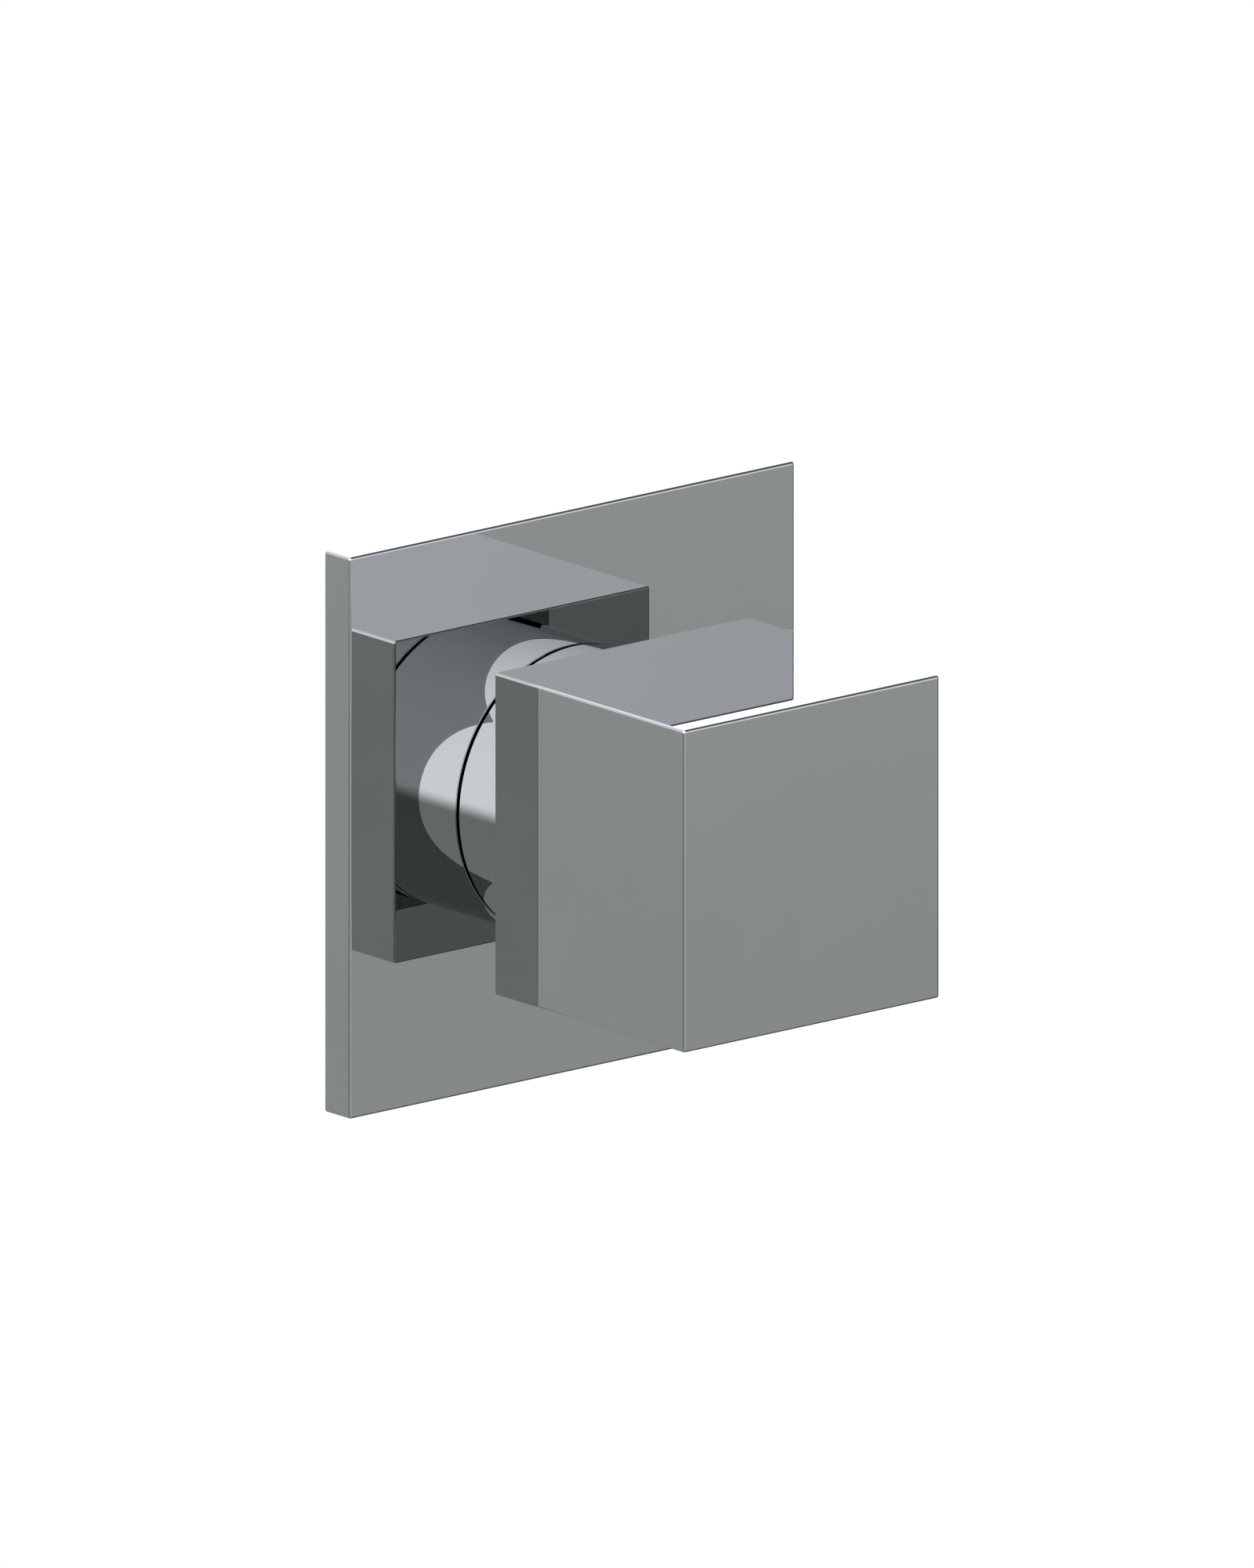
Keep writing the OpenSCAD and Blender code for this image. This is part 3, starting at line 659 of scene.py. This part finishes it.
def blend_colours(tree, share, one, other):
    """Mixes two colours by a share from 0 to 1."""
    node = put(tree, "ShaderNodeMix", data_type="RGBA")
    for socket, value in ((node.inputs[0], share), (node.inputs[6], one), (node.inputs[7], other)):
        set_or_link(tree, socket, value)
    return node.outputs[2]


def colour(red, green, blue):
    """An opaque colour."""
    return (red, green, blue, 1.0)


def start_material(name, metallic=0.0):
    """A new material with its shader and the object's own coordinates."""
    material = bpy.data.materials.new(name)
    material.use_nodes = True
    tree = material.node_tree
    tree.nodes.clear()
    shader = put(tree, "ShaderNodeBsdfPrincipled", {"Metallic": metallic})
    output = put(tree, "ShaderNodeOutputMaterial")
    tree.links.new(shader.outputs[0], output.inputs[0])
    place = put(tree, "ShaderNodeTexCoord").outputs["Object"]
    return material, tree, shader, place


def set_bump(tree, shader, height, strength, distance):
    """Feeds a height into the shader's normal."""
    inputs = {"Height": height, "Strength": strength, "Distance": distance}
    bump = put(tree, "ShaderNodeBump", inputs)
    tree.links.new(bump.outputs[0], shader.inputs["Normal"])


# The range that most of a noise lies in
NOISE_MOST = (0.3, 0.7)

# Share of the light that the chrome mirrors, as the photograph's repeated reflections give it
CHROME_COLOUR = colour(0.521, 0.537, 0.532)
# Keeps that share level towards grazing angles, as it is in the photograph
CHROME_EDGE = colour(0.80, 0.80, 0.80)
# Tone of the chrome's deeper patches against the rest, and its least and most roughness
CHROME_DEEPER = 0.985
CHROME_ROUGHNESS = (0.002, 0.010)

# How much smoother than the cast skin the body's machined parts are, and their share of its relief
MACHINED_SMOOTHER = 0.22
MACHINED_RELIEF = 0.06


def chrome_material():
    """Mirror chrome with the faint unevenness of a buffed plate."""
    material, tree, shader, place = start_material("chrome_mirror", metallic=1.0)
    shader.inputs["Specular Tint"].default_value = CHROME_EDGE
    cloud = noise(tree, place, 14 * MM, 4.0)
    grain = noise(tree, place, 0.6 * MM, 2.0)
    patchy = calc(tree, "MULTIPLY", cloud, grain)
    roughness = spread(tree, patchy, 0.12, 0.42, *CHROME_ROUGHNESS)
    tree.links.new(roughness, shader.inputs["Roughness"])
    deeper = colour(*(CHROME_DEEPER * c for c in CHROME_COLOUR[:3]))
    tone = blend_colours(tree, spread(tree, cloud, 0.35, 0.65), CHROME_COLOUR, deeper)
    tree.links.new(tone, shader.inputs["Base Color"])
    return material


def turned_rings(tree, place, pitch):
    """Fine rings round the stem's axis, as a lathe tool leaves them."""
    parts = put(tree, "ShaderNodeSeparateXYZ", {"Vector": place})
    radius = diagonal(tree, parts.outputs[0], parts.outputs[2])
    along = calc(tree, "ADD", radius, parts.outputs[1])
    return calc(tree, "SINE", calc(tree, "MULTIPLY", along, 2 * math.pi / pitch))


def machined_brass_material():
    """Turned brass: tool rings, a little tarnish and duller patches."""
    material, tree, shader, place = start_material("brass_turned", metallic=1.0)
    stain = noise(tree, place, 7 * MM, 5.0)
    share = spread(tree, stain, 0.38, 0.72)
    tone = blend_colours(tree, share, colour(0.72, 0.50, 0.21), colour(0.52, 0.33, 0.13))
    tree.links.new(tone, shader.inputs["Base Color"])
    fine = noise(tree, place, 0.4 * MM, 2.0)
    roughness = spread(tree, calc(tree, "MULTIPLY", fine, stain), 0.1, 0.5, 0.20, 0.42)
    tree.links.new(roughness, shader.inputs["Roughness"])
    rings = turned_rings(tree, place, 0.35 * MM)
    set_bump(tree, shader, calc(tree, "ADD", rings, fine), 0.25, 0.01 * MM)
    return material


def machined_share(tree, place):
    """1 on the body's machined parts: its neck, its ports' bores and their end faces. Else 0."""
    parts = put(tree, "ShaderNodeSeparateXYZ", {"Vector": place})
    up = calc(tree, "ABSOLUTE", parts.outputs[2])
    back = calc(tree, "SUBTRACT", parts.outputs[1], PIPE_BACK)
    radius = diagonal(tree, parts.outputs[0], back)
    in_bore = calc(tree, "LESS_THAN", radius, PORT_R + THREAD_SINK)
    past_end = calc(tree, "GREATER_THAN", up, PORT_REACH - OVER)
    flare = PORT_REACH - PORT_R - 2 * PORT_BEVEL
    flared = calc(tree, "GREATER_THAN", calc(tree, "SUBTRACT", up, radius), flare)
    deep = calc(tree, "GREATER_THAN", up, PORT_END - OVER)
    port = calc(tree, "MULTIPLY", calc(tree, "MAXIMUM", in_bore, flared), deep)
    neck = calc(tree, "LESS_THAN", parts.outputs[1], OVER - NECK_BACK)
    return calc(tree, "MAXIMUM", neck, calc(tree, "MAXIMUM", port, past_end))


def cast_brass_material():
    """Cast and blasted brass: sandy skin, darker in random patches, and bright where it is machined."""
    material, tree, shader, place = start_material("brass_cast", metallic=1.0)
    machined = machined_share(tree, place)
    sand = noise(tree, place, 0.35 * MM, 4.0)
    lumps = noise(tree, place, 3.5 * MM, 3.0)
    stain = noise(tree, place, 11 * MM, 5.0)
    share = spread(tree, calc(tree, "ADD", sand, stain), 0.75, 1.25)
    cast_tone = blend_colours(tree, share, colour(0.60, 0.42, 0.19), colour(0.36, 0.24, 0.11))
    bright_tone = blend_colours(tree, share, colour(0.76, 0.55, 0.25), colour(0.62, 0.42, 0.18))
    tone = blend_colours(tree, machined, cast_tone, bright_tone)
    tree.links.new(tone, shader.inputs["Base Color"])
    smoother = calc(tree, "MULTIPLY", machined, MACHINED_SMOOTHER)
    roughness = calc(tree, "SUBTRACT", spread(tree, sand, *NOISE_MOST, 0.42, 0.62), smoother)
    tree.links.new(roughness, shader.inputs["Roughness"])
    height = calc(tree, "ADD", sand, calc(tree, "MULTIPLY", lumps, 1.5))
    kept = spread(tree, machined, 0.0, 1.0, 1.0, MACHINED_RELIEF)
    set_bump(tree, shader, calc(tree, "MULTIPLY", height, kept), 0.7, 0.06 * MM)
    return material


def steel_material():
    """Zinc-bright steel of the screws and the clip."""
    material, tree, shader, place = start_material("steel_satin", metallic=1.0)
    cloud = noise(tree, place, 1.2 * MM, 4.0)
    tone = blend_colours(tree, cloud, colour(0.50, 0.51, 0.53), colour(0.62, 0.62, 0.63))
    tree.links.new(tone, shader.inputs["Base Color"])
    roughness = spread(tree, cloud, *NOISE_MOST, 0.25, 0.45)
    tree.links.new(roughness, shader.inputs["Roughness"])
    set_bump(tree, shader, noise(tree, place, 0.15 * MM, 2.0), 0.3, 0.01 * MM)
    return material


def moulded_material(name, tone_one, tone_other, roughness_low, roughness_high, grain):
    """Plastic, rubber or ceramic with a grain of that size, in metres."""
    material, tree, shader, place = start_material(name)
    cloud = noise(tree, place, 6 * MM, 4.0)
    speckle = noise(tree, place, grain, 3.0)
    share = spread(tree, calc(tree, "ADD", cloud, speckle), 0.7, 1.3)
    tree.links.new(blend_colours(tree, share, tone_one, tone_other), shader.inputs["Base Color"])
    roughness = spread(tree, speckle, *NOISE_MOST, roughness_low, roughness_high)
    tree.links.new(roughness, shader.inputs["Roughness"])
    set_bump(tree, shader, speckle, 0.5, 0.12 * grain)
    return material


def foam_material():
    """Closed-cell foam with its cells, darker in their pits as painted shade."""
    material, tree, shader, place = start_material("foam_cells")
    cells = put(tree, "ShaderNodeTexVoronoi", {"Vector": place, "Scale": 1 / (0.7 * MM)})
    pit_depth_and_shade = spread(tree, cells.outputs["Distance"], 0.0, 0.6)
    # Painted shade: the cells' pits are darker the deeper they lie
    tone = blend_colours(tree, pit_depth_and_shade, colour(0.045, 0.045, 0.05), colour(0.10, 0.10, 0.105))
    tree.links.new(tone, shader.inputs["Base Color"])
    tree.links.new(spread(tree, pit_depth_and_shade, 0.0, 1.0, 0.95, 0.75), shader.inputs["Roughness"])
    set_bump(tree, shader, pit_depth_and_shade, 0.8, 0.12 * MM)
    return material


def finish_piece(obj, material):
    """Gives an object one material, in place of any that it has."""
    obj.data.materials.clear()
    obj.data.materials.append(material)
    return obj


def replace_node(obj, node, material):
    """Puts a remade piece in its node's place: same body, new finish, and the node hidden."""
    finish_piece(obj, material)
    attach(obj, nodes[node]["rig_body"])
    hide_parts(node)
    return obj


def make_camera():
    """Orthographic camera, aimed so that a point on the stem's axis lies where the photo has it."""
    back = Vector(
        (
            math.sin(VIEW_AZIMUTH) * math.cos(VIEW_ELEVATION),
            -math.cos(VIEW_AZIMUTH) * math.cos(VIEW_ELEVATION),
            math.sin(VIEW_ELEVATION),
        )
    )
    right = UP.cross(back).normalized()
    up = back.cross(right)
    shift_right = (PHOTO_WIDE_PX / 2 - AIM_PX[0]) / PX_PER_MM * MM
    shift_up = (AIM_PX[1] - PHOTO_HIGH_PX / 2) / PX_PER_MM * MM
    target = AIM_HEIGHT * OUT + shift_right * right + shift_up * up
    data = bpy.data.cameras.new("photo_camera")
    data.type = "ORTHO"
    data.ortho_scale = PHOTO_HIGH_PX / PX_PER_MM * MM
    data.clip_start = CAMERA_NEAR
    data.clip_end = CAMERA_FAR
    camera = add_object("photo_camera", data)
    turn = Matrix((right, up, back)).transposed().to_4x4()
    camera.matrix_world = Matrix.Translation(target + CAMERA_DISTANCE * back) @ turn
    bpy.context.scene.camera = camera


# The studio as the chrome mirrors it: a floor whose glow paints its light and shade, under a round
# tent of soft light. The tent is brightest at the left and behind, and a dark curtain stands at the
# right. Tones go by azimuth, in degrees from the front, with minus to the left
FLOOR_DROP = 0.5
TENT_R = 1.9
TENT_STEPS = 128
TENT_RISE_STEPS = 40
TENT_TONES = [
    (-180, 2.05), (-162, 1.70), (-148, 1.20), (-140, 1.05), (-125, 1.20), (-108, 2.10), (-44, 2.09),
    (-20, 1.94), (0, 1.78), (16, 1.62), (28, 1.45), (39, 1.21), (41, 1.09), (43, 0.55), (47, 0.26),
    (54, 0.14), (130, 0.14), (139, 2.05), (180, 2.05),
]
# Painted light and shade of the floor's glow, by azimuth
FLOOR_PAINTED_LIGHT = [
    (-180, 0.40), (-134, 0.46), (-118, 0.30), (-90, 0.27), (-62, 0.31), (-44, 0.465), (-36, 0.48),
    (0, 0.51), (36, 0.48), (42, 0.465), (50, 0.24), (58, 0.10), (130, 0.10), (142, 0.34), (180, 0.40),
]
TENT_TINT = (1.015, 1.0, 1.075)
FLOOR_TINT = (0.955, 1.0, 0.985)

# How many degrees below the level the floor starts to turn into the tent, and over how many
HORIZON_DROPS = [(-180, 15.9), (-130, 15.9), (-50, 14.6), (-30, 14.6), (30, 15.6), (180, 15.6)]
HORIZON_DEPTHS = [(-180, 16.0), (-130, 16.0), (-100, 9.0), (0, 9.0), (40, 12.0), (180, 12.0)]

# High up behind the valve the tent dims to this share, from the first to the second of the angles
# to the side and above
DUSK_TONE = 0.75
DUSK_SIDE = (128.0, 150.0)
DUSK_RISE = (12.0, 26.0)

# The floor's painted light is stronger by this much straight ahead, a painted pool of light that
# fades out to the side and nearer the valve
GLOW_HALF, GLOW_TONE = 37.0, 0.12
GLOW_NEAR, GLOW_FAR = -38.0, -24.0

HALF_TURN = 180.0
WHITE = colour(1.0, 1.0, 1.0)


def level_round(tree, azimuth, stops):
    """A level by azimuth, joined by straight lines between its stops."""
    share = spread(tree, azimuth, -HALF_TURN, HALF_TURN)
    node = put(tree, "ShaderNodeValToRGB", {"Fac": share})
    elements = node.color_ramp.elements
    places = [(degrees + HALF_TURN) / (2 * HALF_TURN) for degrees, _ in stops]
    tones = [colour(tone, tone, tone) for _, tone in stops]
    for element, end in ((elements[0], 0), (elements[1], -1)):
        element.position = places[end]
        element.color = tones[end]
    for place, tone in zip(places[1:-1], tones[1:-1]):
        elements.new(place).color = tone
    return node.outputs[0]


def tinted(tree, tone, tint):
    """A tone in a colour."""
    node = put(tree, "ShaderNodeVectorMath", {0: tint}, operation="SCALE")
    tree.links.new(tone, node.inputs["Scale"])
    return node.outputs[0]


def studio_material(name):
    """Glow of the tent and floor by direction from the valve. The camera itself sees white."""
    material = bpy.data.materials.new(name)
    material.use_nodes = True
    tree = material.node_tree
    tree.nodes.clear()
    place = put(tree, "ShaderNodeTexCoord").outputs["Object"]
    direction = put(tree, "ShaderNodeVectorMath", {0: place}, operation="NORMALIZE").outputs[0]
    parts = put(tree, "ShaderNodeSeparateXYZ", {"Vector": direction})
    front = calc(tree, "MULTIPLY", parts.outputs[1], -1.0)
    azimuth = calc(tree, "DEGREES", calc(tree, "ARCTAN2", parts.outputs[0], front))
    elevation = calc(tree, "DEGREES", calc(tree, "ARCSINE", parts.outputs[2]))
    sideways = calc(tree, "ABSOLUTE", azimuth)
    ahead = spread(tree, sideways, 0.0, GLOW_HALF, GLOW_TONE, 0.0, smooth=True)
    far = spread(tree, elevation, GLOW_NEAR, GLOW_FAR, smooth=True)
    glow = calc(tree, "MULTIPLY", ahead, far)
    low_tone = calc(tree, "ADD", level_round(tree, azimuth, FLOOR_PAINTED_LIGHT), glow)
    low = tinted(tree, low_tone, FLOOR_TINT)
    behind = spread(tree, sideways, *DUSK_SIDE, smooth=True)
    overhead = spread(tree, elevation, *DUSK_RISE, smooth=True)
    dusk = spread(tree, calc(tree, "MULTIPLY", behind, overhead), 0.0, 1.0, 1.0, DUSK_TONE)
    high_tone = calc(tree, "MULTIPLY", level_round(tree, azimuth, TENT_TONES), dusk)
    high = tinted(tree, high_tone, TENT_TINT)
    over = calc(tree, "ADD", elevation, level_round(tree, azimuth, HORIZON_DROPS))
    share = calc(tree, "DIVIDE", over, level_round(tree, azimuth, HORIZON_DEPTHS))
    above = spread(tree, share, 0.0, 1.0, smooth=True)
    tone = blend_colours(tree, above, low, high)
    is_camera = put(tree, "ShaderNodeLightPath").outputs["Is Camera Ray"]
    shown = blend_colours(tree, is_camera, tone, WHITE)
    glow_shader = put(tree, "ShaderNodeEmission", {"Color": shown, "Strength": 1.0})
    output = put(tree, "ShaderNodeOutputMaterial")
    tree.links.new(glow_shader.outputs[0], output.inputs[0])
    return material


def make_world():
    """Plain white beyond the tent."""
    world = bpy.data.worlds.new("studio")
    world.use_nodes = True
    tree = world.node_tree
    tree.nodes.clear()
    background = put(tree, "ShaderNodeBackground", {"Color": WHITE, "Strength": 1.0})
    output = put(tree, "ShaderNodeOutputWorld")
    tree.links.new(background.outputs[0], output.inputs[0])
    bpy.context.scene.world = world


def make_floor():
    """Round floor well below the valve, glowing with painted light and shade."""
    shell = Shell()
    reach = math.sqrt(TENT_R**2 - FLOOR_DROP**2)
    rim = shell.loop(Vector((reach * d.x, reach * d.z, -FLOOR_DROP)) for d in ring_directions(TENT_STEPS))
    shell.flat([rim], UP)
    finish_piece(shell.build("studio_floor"), studio_material("floor_painted_glow"))


def make_tent():
    """Round tent of soft light that stands on the floor's rim and closes overhead."""
    shell = Shell()
    foot = -math.asin(FLOOR_DROP / TENT_R)
    rings = []
    for step in range(TENT_RISE_STEPS):
        rise = foot + (math.pi / 2 - foot) * step / TENT_RISE_STEPS
        flat, high = TENT_R * math.cos(rise), TENT_R * math.sin(rise)
        around = [Vector((flat * d.x, flat * d.z, high)) for d in ring_directions(TENT_STEPS)]
        rings.append((shell.loop(around), [-p.normalized() for p in around]))
    for (one, normals_one), (other, normals_other) in zip(rings, rings[1:]):
        shell.strip(one, other, normals_one, normals_other)
    shell.flat([rings[-1][0]], -UP)
    finish_piece(shell.build("studio_tent"), studio_material("tent_cloth"))


def plain_finishes():
    """Finishes of the CAD nodes that stay as they are. Returns the turned brass."""
    brass = machined_brass_material()
    steel = steel_material()
    rubber = moulded_material(
        "rubber_moulded", colour(0.018, 0.018, 0.019), colour(0.034, 0.034, 0.036), 0.48, 0.68, 0.25 * MM
    )
    white = moulded_material(
        "acetal_moulded", colour(0.78, 0.76, 0.70), colour(0.86, 0.85, 0.80), 0.32, 0.50, 0.4 * MM
    )
    ceramic = moulded_material(
        "ceramic_lapped", colour(0.84, 0.81, 0.75), colour(0.92, 0.90, 0.86), 0.14, 0.30, 0.12 * MM
    )
    foam = foam_material()
    finishes = {
        "plate_gasket": foam,
        "collar_o_ring": rubber,
        "glide_ring": white,
        "set_screw": steel,
        "handle_adapter": brass,
        "adapter_screw": steel,
        "adapter_washer": steel,
        "stem": brass,
        "stem_clip": steel,
        "stem_o_rings": rubber,
        "thrust_washer": white,
        "upper_disc": ceramic,
        "lower_disc": ceramic,
        "seat_seal": rubber,
        "cartridge_housing": brass,
        "housing_o_ring": rubber,
    }
    for node, material in finishes.items():
        finish_piece(nodes[node], material)
    return brass


def dress():
    """All the pieces and their finishes."""
    chrome = chrome_material()
    replace_node(make_cover_plate(), "cover_plate", chrome)
    replace_node(make_handle(), "handle", chrome)
    black = moulded_material(
        "nylon_moulded", colour(0.022, 0.022, 0.024), colour(0.045, 0.045, 0.047), 0.42, 0.62, 0.35 * MM
    )
    replace_node(make_collar(), "plate_collar", black)
    brass = plain_finishes()
    replace_node(make_sleeve(), "sleeve", brass)
    cast = cast_brass_material()
    replace_node(make_valve_body(), "valve_body", cast)
    for name, outward in (("outlet_thread", UP), ("inlet_thread", -UP)):
        thread = finish_piece(make_port_thread(name, outward), cast)
        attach(thread, nodes["valve_body"]["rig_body"])


make_camera()
dress()
make_world()
make_floor()
make_tent()

scene = bpy.context.scene
scene.view_settings.view_transform = "Standard"
